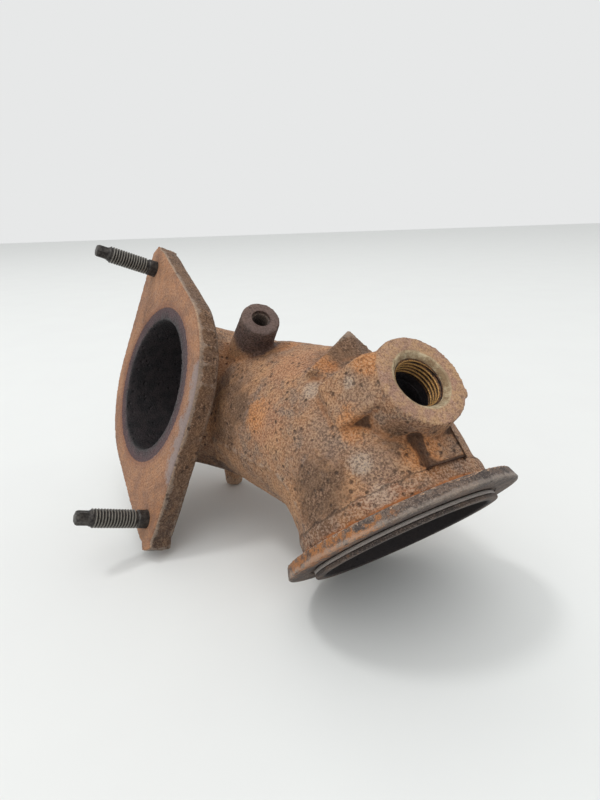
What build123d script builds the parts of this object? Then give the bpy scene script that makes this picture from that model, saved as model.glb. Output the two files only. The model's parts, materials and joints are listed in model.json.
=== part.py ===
from build123d import *
import math
import os

# Exhaust outlet elbow in cast iron, in millimetres.
# It is drawn in a casting frame: origin at the centre of the inlet face, +X into the bore,
# +Z along the line of the two studs. At the end it is turned to lie on its three feet (the
# lower flange tip, the clamp rim and the rear boss), +Z up, origin under the middle of its box.

# inlet flange
bore_radius = 31.0
bolt_half_spacing = 63.5
flange_thickness = 10.5
flange_centre_radius = 47.5
flange_lobe_radius = 10.3
flange_back_chamfer = 1.5
face_recess_radius = 37.4
face_recess_depth = 0.4
upper_tip_reach = 75.6
lower_tip_reach = 76.8
tip_half_width = 4.0
neck_radius = 36.0
neck_length = 12.0
mark_height = 0.8
mark_size = 6.0
mark_ring_angle = -66
mark_bar_angles = (-78, -88, -98, -108)

# bent tube: a run into the casting, a slanted run and a run down to the outlet
tube_radius = 34.3
inlet_run = 51.0
outlet_run = 36.5
inlet_bend_radius = 36.0
outlet_bend_radius = 38.0

# outlet: clamp flange and grooved spigot
outlet_centre = Vector(54.4, -97.7, -78.5)
outlet_direction = Vector(0.193, -0.275, -0.942).normalized()
rim_radius = 43.7
rim_back_radius = 42.7
rim_thickness = 4.4
collar_radius = 35.6
collar_length = 11.5
spigot_radius = 34.7
spigot_length = 2.8
groove_radius = 33.4
groove_width = 1.5
face_relief_radius = 35.5
face_relief_depth = 0.3

# sensor port, drawn on its own plane: x up the tube, y towards the inlet side, z out
port_centre = Vector(35.5, -128.7, -34.0)
port_direction = Vector(-0.265, -0.9405, 0.201).normalized()
port_boss_radius = 16.6
port_boss_base_radius = 18.0
port_boss_depth = 22.0
port_hole_radius = 8.25
port_hole_depth = 24.0
port_chamfer_radius = 10.6
port_chamfer_depth = 1.8
ear_width = 9.0
ear_reach = 15.8
ear_depth = 12.0
shoulder_outline = ((0, -1), (15.5, -1.6), (17.5, -3.2), (24.5, -19), (20, -30), (0, -30))
shoulder_start = -3.5
shoulder_width = 16.8
web_low = (-25.5, -9, -24)
web_high = (-12, 5, -7.5)

# lug beside the port, drawn on the port's plane
lug_outline = ((19, 15), (22.5, 21.5), (37.5, -3.5), (25, -10), (18, -6))
lug_bottom = -44.0
lug_height = 20.0

# low rib along the crown of the slanted run, between the small boss and the lug
crown_direction = Vector(-0.25, -0.42, 0.87)
crown_rib_start = 42.0
crown_rib_foot = 30.0
crown_rib_size = (44.0, 8.0, 5.0)

# small tapped boss
side_boss_centre = Vector(20.3, -64.0, 12.1)
side_boss_direction = Vector(-0.354, -0.919, 0.171).normalized()
side_boss_radius = 8.3
side_boss_base_radius = 9.6
side_boss_depth = 34.0
side_hole_radius = 3.4
side_hole_depth = 14.0

# studs and seal ring
stud_radius = 4.0
stud_root_radius = 3.7
stud_mouth_radius = 4.35
stud_mouth_depth = 0.65
stud_projection = 30.0
stud_plain_length = 4.2
thread_pitch_radius = 3.85
drive_radius = 3.1
drive_length = 6.0
drive_flute_radius = 0.75
drive_flute_inset = 0.25
drive_lobes = 6
ring_outer_radius = 34.4
ring_gap = 0.1

# how it lies: the way down and a level direction, both in the casting frame
down = Vector(0.381, 0.4956, -0.7805).normalized()
level = Vector(0.7778, -0.6257, -0.0594)
rear_foot_aim = Vector(60.9, 23.9, -39.6)
rear_foot_radius = 4.5
rear_foot_base_radius = 6.5
rear_foot_depth = 26.0

inward = Vector(1, 0, 0)
base_centred = (Align.CENTER, Align.CENTER, Align.MIN)


def rod(start, direction, length, radius):
    place = Plane(origin=start, z_dir=direction).location
    return place * Cylinder(radius, length, align=base_centred)


def frustum(start, direction, length, start_radius, end_radius):
    place = Plane(origin=start, z_dir=direction).location
    return place * Cone(start_radius, end_radius, length, align=base_centred)


def slab(low, high):
    size = [high[i] - low[i] for i in range(3)]
    return Pos(*low) * Box(*size, align=(Align.MIN, Align.MIN, Align.MIN))


def port_plane():
    return Plane(origin=port_centre, x_dir=-outlet_direction, z_dir=port_direction)


def tube_corners():
    first = inward * inlet_run
    second = outlet_centre - outlet_direction * outlet_run
    return first, second, (second - first).normalized()


def bend(corner, before, after, bend_radius, section_radius):
    turn = before.get_angle(after)
    tangent = bend_radius * math.tan(math.radians(turn) / 2)
    start = corner - before * tangent
    hinge = before.cross(after).normalized()
    centre = start + hinge.cross(before) * bend_radius
    section = Plane(origin=start, z_dir=before) * Circle(section_radius)
    return revolve(section, Axis(centre, hinge), turn), tangent


def tube(radius):
    first, second, slant = tube_corners()
    first_bend, first_tangent = bend(first, inward, slant, inlet_bend_radius, radius)
    second_bend, second_tangent = bend(second, slant, outlet_direction, outlet_bend_radius, radius)
    slant_start = first + slant * first_tangent
    slant_end = second - slant * second_tangent
    outlet_start = second + outlet_direction * second_tangent
    return (
        rod(Vector(0, 0, 0), inward, inlet_run - first_tangent, radius)
        + first_bend
        + rod(slant_start, slant, (slant_end - slant_start).length, radius)
        + second_bend
        + rod(outlet_start, outlet_direction, outlet_run - second_tangent, radius)
    )


def inlet_flange():
    lobe = Circle(flange_lobe_radius)
    upper_lobe = Pos(0, bolt_half_spacing) * lobe
    lower_lobe = Pos(0, -bolt_half_spacing) * lobe
    rings = [Circle(flange_centre_radius), upper_lobe, lower_lobe]
    outline = make_hull([edge for ring in rings for edge in ring.edges()])
    face = Plane(origin=(0, 0, 0), x_dir=(0, 1, 0), z_dir=(1, 0, 0))
    plate = extrude(face * outline, flange_thickness)
    back_edges = plate.faces().sort_by(Axis.X)[-1].edges()
    plate = chamfer(back_edges, flange_back_chamfer)
    upper_tip = slab((0, -tip_half_width, 0), (flange_thickness, tip_half_width, upper_tip_reach))
    lower_tip = slab((0, -tip_half_width, -lower_tip_reach), (flange_thickness, tip_half_width, 0))
    neck = frustum(inward * flange_thickness, inward, neck_length, neck_radius, tube_radius)
    return plate + upper_tip + lower_tip + neck


def mark_spoke(angle):
    return Vector(0, math.sin(math.radians(angle)), math.cos(math.radians(angle)))


def flange_marks():
    # generic raised marks on the flange's edge: a ring and four bars
    depth = mark_size / 2
    middle = inward * flange_thickness / 2
    foot_radius = flange_centre_radius + mark_height - depth
    spoke = mark_spoke(mark_ring_angle)
    foot = middle + spoke * foot_radius
    marks = [rod(foot, spoke, depth, mark_size / 2) - rod(foot, spoke, depth, mark_size / 4)]
    for angle in mark_bar_angles:
        spoke = mark_spoke(angle)
        place = Plane(origin=middle + spoke * foot_radius, x_dir=inward, z_dir=spoke).location
        marks.append(place * Box(mark_size, mark_size / 4, depth, align=base_centred))
    return marks


def clamp_flange():
    back = -outlet_direction
    rim = frustum(outlet_centre, back, rim_thickness, rim_radius, rim_back_radius)
    collar = rod(outlet_centre, back, collar_length, collar_radius)
    spigot = rod(outlet_centre, outlet_direction, spigot_length, spigot_radius)
    groove = rod(outlet_centre, outlet_direction, groove_width, spigot_radius)
    groove -= rod(outlet_centre, outlet_direction, groove_width, groove_radius)
    return rim + collar + spigot - groove


def port_boss():
    place = port_plane().location
    inner = -port_direction
    boss = frustum(port_centre, inner, port_boss_depth, port_boss_radius, port_boss_base_radius)
    ear = slab((-ear_width, -ear_reach, -ear_depth), (0, 0, 0))
    outline = Plane.YZ * Polygon(*shoulder_outline, align=None)
    shoulder = Pos(shoulder_start, 0, 0) * extrude(outline, shoulder_width, dir=(1, 0, 0))
    web = slab(web_low, web_high)
    return boss + place * ear + place * shoulder + place * web


def port_holes():
    hole = rod(port_centre, -port_direction, port_hole_depth, port_hole_radius)
    mouth = frustum(port_centre, -port_direction, port_chamfer_depth, port_chamfer_radius, port_hole_radius)
    return hole + mouth


def lug():
    # a gusset with a five-cornered outline, its flat face square to the port
    outline = Polygon(*lug_outline, align=None)
    prism = extrude(outline, lug_height, dir=(0, 0, 1))
    return port_plane().location * Pos(0, 0, lug_bottom) * prism


def crown_rib():
    first, second, slant = tube_corners()
    crown = (crown_direction - slant * crown_direction.dot(slant)).normalized()
    place = Plane(origin=first + slant * crown_rib_start, x_dir=slant, z_dir=crown).location
    rib = Box(*crown_rib_size, align=(Align.MIN, Align.CENTER, Align.MIN))
    return place * Pos(0, 0, crown_rib_foot) * rib


def rear_foot():
    level_of_table = table_height()
    end = rear_foot_aim + down * (level_of_table - rear_foot_aim.dot(down))
    return frustum(end, -down, rear_foot_depth, rear_foot_radius, rear_foot_base_radius)


def table_height():
    # how far down the lowest point of the clamp rim lies
    across = down - outlet_direction * down.dot(outlet_direction)
    return outlet_centre.dot(down) + rim_radius * across.length


def side_boss():
    inner = -side_boss_direction
    return frustum(side_boss_centre, inner, side_boss_depth, side_boss_radius, side_boss_base_radius)


def machined_cuts():
    # everything that is bored, faced or tapped after casting
    spigot_bore = rod(outlet_centre, outlet_direction, spigot_length, bore_radius)
    face_recess = rod(Vector(0, 0, 0), inward, face_recess_depth, face_recess_radius)
    relief = rod(outlet_centre, -outlet_direction, face_relief_depth, face_relief_radius)
    relief -= rod(outlet_centre, -outlet_direction, face_relief_depth, groove_radius)
    side_hole = rod(side_boss_centre, -side_boss_direction, side_hole_depth, side_hole_radius)
    cuts = [tube(bore_radius), spigot_bore, face_recess, relief, port_holes(), side_hole]
    for side in (1, -1):
        base = Vector(0, 0, side * bolt_half_spacing)
        cuts.append(rod(base, inward, flange_thickness, stud_root_radius))
        cuts.append(frustum(base, inward, stud_mouth_depth, stud_mouth_radius, stud_root_radius))
    return cuts


def elbow_casting():
    bosses = [port_boss(), side_boss(), lug(), crown_rib(), rear_foot()]
    body = tube(tube_radius) + inlet_flange() + clamp_flange()
    for added in bosses + flange_marks():
        body += added
    for cut in machined_cuts():
        body -= cut
    return body


def stud(side):
    base = Vector(0, 0, side * bolt_half_spacing)
    outward = -inward
    thread_length = stud_projection - stud_plain_length - drive_length
    thread_start = base + outward * stud_plain_length
    drive_start = thread_start + outward * thread_length
    root = rod(base - outward * flange_thickness, outward, flange_thickness, stud_root_radius)
    shank = rod(base, outward, stud_plain_length, stud_radius)
    thread = rod(thread_start, outward, thread_length, thread_pitch_radius)
    drive = rod(drive_start, outward, drive_length, drive_radius)
    for lobe in range(drive_lobes):
        turn = Rot(lobe * 360 / drive_lobes, 0, 0)
        flute_start = Vector(0, 0, drive_radius + drive_flute_inset)
        flute = rod(flute_start, outward, drive_length, drive_flute_radius)
        drive -= Pos(drive_start.X, drive_start.Y, drive_start.Z) * (turn * flute)
    return root + shank + thread + drive


def seal_ring():
    start = outlet_centre + outlet_direction * ring_gap
    width = groove_width - 2 * ring_gap
    ring = rod(start, outlet_direction, width, ring_outer_radius)
    return ring - rod(start, outlet_direction, width, groove_radius)


def lying_frame(shapes):
    # +Z up, +X along the level direction, origin at the middle of the box's underside
    up = -down
    plane = Plane(origin=(0, 0, 0), x_dir=level - up * level.dot(up), z_dir=up)
    turned = [plane.to_local_coords(shape) for shape in shapes]
    box = Compound(children=turned).bounding_box()
    middle = (box.min + box.max) * 0.5
    return Pos(-middle.X, -middle.Y, -box.min.Z), plane


def main():
    pieces = {
        "elbow_casting": elbow_casting(),
        "upper_stud": stud(1),
        "lower_stud": stud(-1),
        "seal_ring": seal_ring(),
    }
    place, plane = lying_frame(list(pieces.values()))
    os.makedirs("parts", exist_ok=True)
    for name, shape in pieces.items():
        export_step(place * plane.to_local_coords(shape), f"parts/{name}.step")


main()
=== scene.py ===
import json
import math

import bmesh
import bpy
import numpy as np
from mathutils import Matrix, Vector


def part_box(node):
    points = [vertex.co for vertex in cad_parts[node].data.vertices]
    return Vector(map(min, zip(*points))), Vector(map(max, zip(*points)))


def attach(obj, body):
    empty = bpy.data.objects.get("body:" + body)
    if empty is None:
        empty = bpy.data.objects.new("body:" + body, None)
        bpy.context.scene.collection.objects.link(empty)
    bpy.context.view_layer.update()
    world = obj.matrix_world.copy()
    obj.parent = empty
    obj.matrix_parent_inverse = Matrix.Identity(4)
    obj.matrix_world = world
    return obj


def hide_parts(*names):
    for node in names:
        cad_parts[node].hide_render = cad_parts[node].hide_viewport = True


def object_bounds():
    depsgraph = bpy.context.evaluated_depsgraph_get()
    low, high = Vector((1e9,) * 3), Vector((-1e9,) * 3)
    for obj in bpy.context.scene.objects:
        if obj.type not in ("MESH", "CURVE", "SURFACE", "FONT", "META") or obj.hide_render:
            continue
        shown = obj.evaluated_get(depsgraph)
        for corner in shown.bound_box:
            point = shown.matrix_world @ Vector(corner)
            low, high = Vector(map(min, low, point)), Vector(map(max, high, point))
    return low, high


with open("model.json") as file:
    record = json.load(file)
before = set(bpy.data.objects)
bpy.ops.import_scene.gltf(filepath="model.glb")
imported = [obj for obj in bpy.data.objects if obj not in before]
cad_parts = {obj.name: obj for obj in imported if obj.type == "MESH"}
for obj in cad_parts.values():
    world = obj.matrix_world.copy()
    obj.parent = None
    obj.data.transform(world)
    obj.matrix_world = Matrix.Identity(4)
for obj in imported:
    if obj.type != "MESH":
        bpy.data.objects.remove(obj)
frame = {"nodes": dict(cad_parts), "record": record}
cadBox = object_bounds()
mm = 0.001


# Places, read from the frame

mounts = {mount["name"]: mount for mount in frame["record"]["mounts"]}


def mountPoint(name):
    return Vector(mounts[name]["pos_m"])


def mountAxis(name):
    return Vector(mounts[name]["axis"]).normalized()


def boxCentre(node):
    low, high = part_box(node)
    return (low + high) / 2


def axes(origin, out, side):
    # a frame with z along out and x as near to side as it can be
    x = (side - out * side.dot(out)).normalized()
    y = out.cross(x)
    turned = Matrix((x, y, out)).transposed().to_4x4()
    turned.translation = origin
    return turned


inletOut = mountAxis("inlet_studs")
inletCentre = mountPoint("inlet_studs")
studLine = (boxCentre("upper_stud") - boxCentre("lower_stud")).normalized()
castingFrame = axes(inletCentre, studLine, -inletOut)        # x into the bore, z up the line of the studs

outletOut = mountAxis("outlet_spigot")
borePoint = mountPoint("outlet_bore")
outletCentre = borePoint + outletOut * outletOut.dot(mountPoint("outlet_face") - borePoint)
outletFrame = axes(outletCentre, outletOut, studLine)

portOut = mountAxis("sensor_port")
portWall = mounts["sensor_port"]["dims"]["length_mm"] * mm
portChamfer = 1.8 * mm
portCentre = mountPoint("sensor_port") + portOut * (portWall / 2 + portChamfer)
portFrame = axes(portCentre, portOut, -outletOut)            # x up the tube, away from the outlet

sideOut = mountAxis("side_boss_hole")
sideWall = mounts["side_boss_hole"]["dims"]["length_mm"] * mm
sideCentre = mountPoint("side_boss_hole") + sideOut * sideWall / 2
sideFrame = axes(sideCentre, sideOut, -outletOut)

studPoints = {}
for studName, sign in (("upper_stud", 1), ("lower_stud", -1)):
    spacing = mounts["inlet_studs"]["dims"]["pcd_mm"] / 2 * mm
    studPoints[studName] = inletCentre + studLine * sign * spacing


# Mesh helpers

def newObject(name, mesh):
    made = bpy.data.objects.new(name, mesh)
    bpy.context.scene.collection.objects.link(made)
    return made


def meshFrom(name, points, faces):
    mesh = bpy.data.meshes.new(name)
    mesh.from_pydata(points, [], faces)
    mesh.update()
    return mesh


def baked(obj):
    # the evaluated shape as a plain mesh, with every modifier gone
    bpy.context.view_layer.update()
    graph = bpy.context.evaluated_depsgraph_get()
    mesh = bpy.data.meshes.new_from_object(obj.evaluated_get(graph))
    obj.modifiers.clear()
    obj.data = mesh
    return mesh


def positions(mesh):
    flat = np.empty(len(mesh.vertices) * 3)
    mesh.vertices.foreach_get("co", flat)
    return flat.reshape(-1, 3)


def setPositions(mesh, points):
    mesh.vertices.foreach_set("co", points.ravel())
    mesh.update()


def inFrame(points, place):
    # points seen from a frame, in millimetres
    inverse = np.array(place.inverted())
    return (points @ inverse[:3, :3].T + inverse[:3, 3]) / mm


def outOfFrame(points, place):
    matrix = np.array(place)
    return (points * mm) @ matrix[:3, :3].T + matrix[:3, 3]


def normalsOf(mesh):
    flat = np.empty(len(mesh.vertices) * 3)
    mesh.vertex_normals.foreach_get("vector", flat)
    return flat.reshape(-1, 3)


def edgesOf(mesh):
    flat = np.empty(len(mesh.edges) * 2, int)
    mesh.edges.foreach_get("vertices", flat)
    return flat.reshape(-1, 2)


def neighbourMean(points, edges):
    count = len(points)
    first, second = edges[:, 0], edges[:, 1]
    degree = np.bincount(first, minlength=count) + np.bincount(second, minlength=count)
    total = np.empty_like(points)
    for axis in range(3):
        total[:, axis] = np.bincount(first, points[second, axis], count)
        total[:, axis] += np.bincount(second, points[first, axis], count)
    return total / degree[:, None]


def smoothStep(value, low, high):
    t = np.clip((value - low) / (high - low), 0, 1)
    return t * t * (3 - 2 * t)


def storeFloat(mesh, name, values):
    layer = mesh.attributes.get(name) or mesh.attributes.new(name, "FLOAT", "POINT")
    layer.data.foreach_set("value", np.asarray(values, np.float32))


def shadeSmooth(mesh, angle=None):
    mesh.polygons.foreach_set("use_smooth", [True] * len(mesh.polygons))
    if angle is not None:
        mesh.set_sharp_from_angle(angle=math.radians(angle))


def finePath(corners, step, closed=True):
    # an outline of (radius, height) corners, filled in to an even step
    path = []
    for start, end in zip(corners, corners[1:] + (corners[:1] if closed else [])):
        length = math.dist(start, end)
        count = max(1, round(length / step))
        for i in range(count):
            t = i / count
            path.append((start[0] + (end[0] - start[0]) * t, start[1] + (end[1] - start[1]) * t))
    return path if closed else path + [corners[-1]]


def lathe(name, corners, place, segments, step, closed=True):
    # turns an outline, in millimetres, round the z axis of a frame; an open one starts and ends on the axis
    path = finePath(corners, step, closed)
    points = []
    for i in range(segments):
        angle = 2 * math.pi * i / segments
        for radius, height in path:
            points.append(place @ (Vector((radius * math.cos(angle), radius * math.sin(angle), height)) * mm))
    count = len(path)
    faces = []
    for i in range(segments):
        after = (i + 1) % segments
        for j in range(count if closed else count - 1):
            up = (j + 1) % count
            faces.append((i * count + j, after * count + j, after * count + up, i * count + up))
    mesh = meshFrom(name, points, faces)
    cleanNormals(mesh)
    return mesh


def cleanNormals(mesh):
    work = bmesh.new()
    work.from_mesh(mesh)
    bmesh.ops.remove_doubles(work, verts=work.verts, dist=0.002 * mm)
    bmesh.ops.dissolve_degenerate(work, edges=work.edges, dist=0.0005 * mm)
    bmesh.ops.recalc_face_normals(work, faces=work.faces)
    work.to_mesh(mesh)
    work.free()
    mesh.update()


def cylinderMesh(name, place, radius, low, high, topRadius=None, segments=96):
    # a closed cylinder or cone on the z axis of a frame, sizes in millimetres
    work = bmesh.new()
    middle = place @ Matrix.Translation((0, 0, (low + high) / 2 * mm))
    bmesh.ops.create_cone(
        work, cap_ends=True, segments=segments, radius1=radius * mm,
        radius2=(topRadius or radius) * mm, depth=(high - low) * mm, matrix=middle,
    )
    mesh = bpy.data.meshes.new(name)
    work.to_mesh(mesh)
    work.free()
    return mesh


def combine(obj, cutter, operation="DIFFERENCE", solver="MANIFOLD"):
    tool = newObject("cutter", cutter)
    step = obj.modifiers.new("combine", "BOOLEAN")
    step.object = tool
    step.operation = operation
    step.solver = solver
    baked(obj)
    bpy.data.objects.remove(tool)


# Node helpers

def put(tree, kind, settings=None, sockets=None):
    # adds a node; a socket's value is a number, a colour or another node's output
    node = tree.nodes.new(kind)
    for name, value in (settings or {}).items():
        setattr(node, name, value)
    for name, value in (sockets or {}).items():
        connect(tree, node.inputs[name], value)
    return node


def connect(tree, socket, value):
    if isinstance(value, bpy.types.NodeSocket):
        tree.links.new(value, socket)
    elif value is not None:
        socket.default_value = value


def math1(tree, operation, first, second=None):
    node = put(tree, "ShaderNodeMath", {"operation": operation}, {0: first})
    if second is not None:
        connect(tree, node.inputs[1], second)
    return node.outputs[0]


def plus(tree, first, second):
    return math1(tree, "ADD", first, second)


def minus(tree, first, second):
    return math1(tree, "SUBTRACT", first, second)


def times(tree, first, second):
    return math1(tree, "MULTIPLY", first, second)


def centred(tree, pattern):
    # a pattern from 0 to 1, moved to lie round 0
    return minus(tree, pattern, 0.5)


def spread(tree, value, low, high, start=0.0, end=1.0):
    node = put(tree, "ShaderNodeMapRange", {"interpolation_type": "SMOOTHSTEP"}, {
        "Value": value, "From Min": low, "From Max": high, "To Min": start, "To Max": end})
    return node.outputs["Result"]


def falling(tree, value, low, high):
    return spread(tree, value, low, high, 1.0, 0.0)


def blendColour(tree, amount, under, over):
    node = put(tree, "ShaderNodeMix", {"data_type": "RGBA"})
    connect(tree, node.inputs["Factor"], amount)
    connect(tree, node.inputs[6], under)
    connect(tree, node.inputs[7], over)
    return node.outputs[2]


def laid(tree, mask, amount, under, over):
    # one colour over another where a mask is on
    return blendColour(tree, times(tree, mask, amount), under, over)


def noiseOf(tree, vector, size, detail=3.0, roughness=0.55):
    # size is the width of one blotch, in millimetres
    return put(tree, "ShaderNodeTexNoise", None, {
        "Vector": vector, "Scale": 1 / (size * mm), "Detail": detail, "Roughness": roughness}).outputs[0]


def tone(red, green, blue):
    # a screen colour, 0 to 255, as the linear colour that a shader takes
    shares = [value / 255 for value in (red, green, blue)]
    linear = [c / 12.92 if c <= 0.0404 else ((c + 0.055) / 1.055) ** 2.4 for c in shares]
    return (*linear, 1.0)


def newGroup(name, kind, inputs, outputs):
    tree = bpy.data.node_groups.new(name, kind)
    for socketName, socketKind, value in inputs:
        socket = tree.interface.new_socket(name=socketName, in_out="INPUT", socket_type=socketKind)
        if value is not None:
            socket.default_value = value
    for socketName, socketKind in outputs:
        tree.interface.new_socket(name=socketName, in_out="OUTPUT", socket_type=socketKind)
    return tree, tree.nodes.new("NodeGroupInput"), tree.nodes.new("NodeGroupOutput")


def useGroup(tree, group, **sockets):
    # adds a node group and fills its inputs by name
    node = tree.nodes.new("ShaderNodeGroup")
    node.node_tree = group
    for name, value in sockets.items():
        connect(tree, node.inputs[name], value)
    return node


def newMaterial(name):
    material = bpy.data.materials.new(name)
    material.use_nodes = True
    tree = material.node_tree
    shader = tree.nodes["Principled BSDF"]
    place = tree.nodes.new("ShaderNodeTexCoord").outputs["Object"]
    return material, tree, shader, place


def seenFrom(tree, place, frameAt):
    # the coordinates of the surface in another frame, in millimetres
    inverse = frameAt.inverted()
    node = put(tree, "ShaderNodeMapping", {"vector_type": "POINT"}, {"Vector": place})
    node.inputs["Location"].default_value = inverse.translation
    node.inputs["Rotation"].default_value = inverse.to_euler("XYZ")
    larger = put(tree, "ShaderNodeVectorMath", {"operation": "SCALE"}, {
        "Vector": node.outputs[0], "Scale": 1 / mm})
    parts = put(tree, "ShaderNodeSeparateXYZ", None, {"Vector": larger.outputs[0]}).outputs
    return parts["X"], parts["Y"], parts["Z"]


def across(tree, first, second):
    # the length of two sides at a right angle
    return math1(tree, "SQRT", plus(tree, times(tree, first, first), times(tree, second, second)))


def within(tree, value, low, high, soft):
    # 1 between two limits, 0 outside them
    rising = spread(tree, value, low - soft, low + soft)
    return times(tree, rising, falling(tree, value, high - soft, high + soft))


def attribute(tree, name):
    node = put(tree, "ShaderNodeAttribute", {"attribute_name": name})
    return node.outputs["Fac"]


# Shared effects for the shaders

def makeMottle():
    # cloudy patches with a fine speckle over them, as on a rusted sand casting
    tree, ins, outs = newGroup("rustMottle", "ShaderNodeTree", [
        ("place", "NodeSocketVector", None), ("cloudSize", "NodeSocketFloat", 14.0),
        ("speckSize", "NodeSocketFloat", 0.9)], [
        ("clouds", "NodeSocketFloat"), ("patches", "NodeSocketFloat"), ("specks", "NodeSocketFloat"),
        ("dust", "NodeSocketFloat")])
    where = ins.outputs["place"]

    def clouds(size, detail, roughness, factor):
        scale = math1(tree, "DIVIDE", factor / mm, size)
        node = put(tree, "ShaderNodeTexNoise", None, {
            "Vector": where, "Scale": scale, "Detail": detail, "Roughness": roughness})
        return node.outputs[0]

    big = clouds(ins.outputs["cloudSize"], 5.0, 0.62, 1.0)
    middle = clouds(ins.outputs["cloudSize"], 6.0, 0.7, 3.1)
    speck = clouds(ins.outputs["speckSize"], 2.0, 0.6, 1.0)
    dust = clouds(ins.outputs["speckSize"], 3.0, 0.7, 2.4)
    connect(tree, outs.inputs["clouds"], spread(tree, big, 0.38, 0.62))
    connect(tree, outs.inputs["patches"], spread(tree, middle, 0.40, 0.62))
    connect(tree, outs.inputs["specks"], spread(tree, speck, 0.36, 0.66))
    connect(tree, outs.inputs["dust"], spread(tree, dust, 0.34, 0.68))
    return tree


def makeGrainHeight():
    # the height of sand grain and small pits, for a Bump node
    tree, ins, outs = newGroup("castGrainHeight", "ShaderNodeTree", [
        ("place", "NodeSocketVector", None), ("grainSize", "NodeSocketFloat", 0.8),
        ("pitSize", "NodeSocketFloat", 1.6), ("pitDepth", "NodeSocketFloat", 0.8)], [
        ("height", "NodeSocketFloat"), ("pits", "NodeSocketFloat")])
    where = ins.outputs["place"]
    grain = put(tree, "ShaderNodeTexNoise", None, {
        "Vector": where, "Scale": math1(tree, "DIVIDE", 1 / mm, ins.outputs["grainSize"]),
        "Detail": 4.0, "Roughness": 0.7}).outputs[0]
    cells = put(tree, "ShaderNodeTexVoronoi", None, {
        "Vector": where, "Scale": math1(tree, "DIVIDE", 1 / mm, ins.outputs["pitSize"])})
    hollow = falling(tree, cells.outputs["Distance"], 0.12, 0.42)
    chosen = put(tree, "ShaderNodeSeparateColor", None, {"Color": cells.outputs["Color"]}).outputs[0]
    pits = times(tree, hollow, spread(tree, chosen, 0.66, 0.78))
    height = minus(tree, grain, times(tree, pits, ins.outputs["pitDepth"]))
    connect(tree, outs.inputs["height"], height)
    connect(tree, outs.inputs["pits"], pits)
    return tree


def makeWear():
    # worn edges: a mask that follows the edge attribute, broken up by noise
    tree, ins, outs = newGroup("edgeWear", "ShaderNodeTree", [
        ("place", "NodeSocketVector", None), ("edge", "NodeSocketFloat", 0.0),
        ("breakUp", "NodeSocketFloat", 0.8), ("size", "NodeSocketFloat", 2.5)], [
        ("worn", "NodeSocketFloat")])
    noise = put(tree, "ShaderNodeTexNoise", None, {
        "Vector": ins.outputs["place"], "Scale": math1(tree, "DIVIDE", 1 / mm, ins.outputs["size"]),
        "Detail": 5.0, "Roughness": 0.7}).outputs[0]
    shift = times(tree, centred(tree, noise), ins.outputs["breakUp"])
    edge = plus(tree, ins.outputs["edge"], shift)
    connect(tree, outs.inputs["worn"], spread(tree, edge, 0.35, 0.75))
    return tree


mottle = makeMottle()
grainHeight = makeGrainHeight()
wear = makeWear()
print("shader groups made")


# Materials

def bumpFrom(tree, shader, height, distance):
    bump = put(tree, "ShaderNodeBump", None, {"Height": height, "Distance": distance * mm, "Strength": 1.0})
    connect(tree, shader.inputs["Normal"], bump.outputs["Normal"])


castColours = {
    "brown": tone(88, 64, 47),
    "tan": tone(180, 134, 97),
    "rust": tone(176, 116, 70),
    "brightRust": tone(196, 124, 62),
    "plum": tone(130, 106, 92),
    "salmon": tone(176, 118, 84),
    "paleWear": tone(192, 176, 160),
    "darkSpeck": tone(52, 37, 29),
    "lightSpeckAndGlint": tone(220, 182, 142),
    "crease": tone(46, 33, 26),
    # dark scale, and painted shade at the side boss's foot and the flange's low edge
    "darkScaleAndShade": tone(50, 38, 37),
}
# the brown and dark zones are partly painted shade
zoneLayers = [
    ("salmonZone", "salmon", 0.6), ("brownZone", "brown", 0.85), ("plumZone", "plum", 0.7),
    ("rustZone", "brightRust", 0.75), ("paleZone", "paleWear", 0.6), ("darkZone", "darkScaleAndShade", 0.85),
]


# where each finish starts and ends, in millimetres in the frame of its own feature
finishSizes = {
    "bossRadius": (10.0, 12.0),
    "bossDepth": (-15.0, 3.0),
    "bossFace": (-0.8, -0.2),
    "collarRadius": (38.5, 40.0),
    "paleBand": (-10.6, -5.9),
    "darkLine": (-11.6, -10.8),
    "rustyCorner": (-5.9, -4.2),
    "faceDepth": (0.45, 0.7),
    "boreHalo": (38.0, 41.5),
    "recessEdge": (37.1, 37.6),
    "portFaceDepth": (-0.35, 0.6),
    "portFaceRadius": (24.0, 25.0),
    "mouthDepth": (-1.85, 0.6),
    "mouthRadius": (10.7, 11.3),
    "portInside": (-60.0, -1.9),
    "portInsideRadius": (9.9, 10.2),
}


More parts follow.
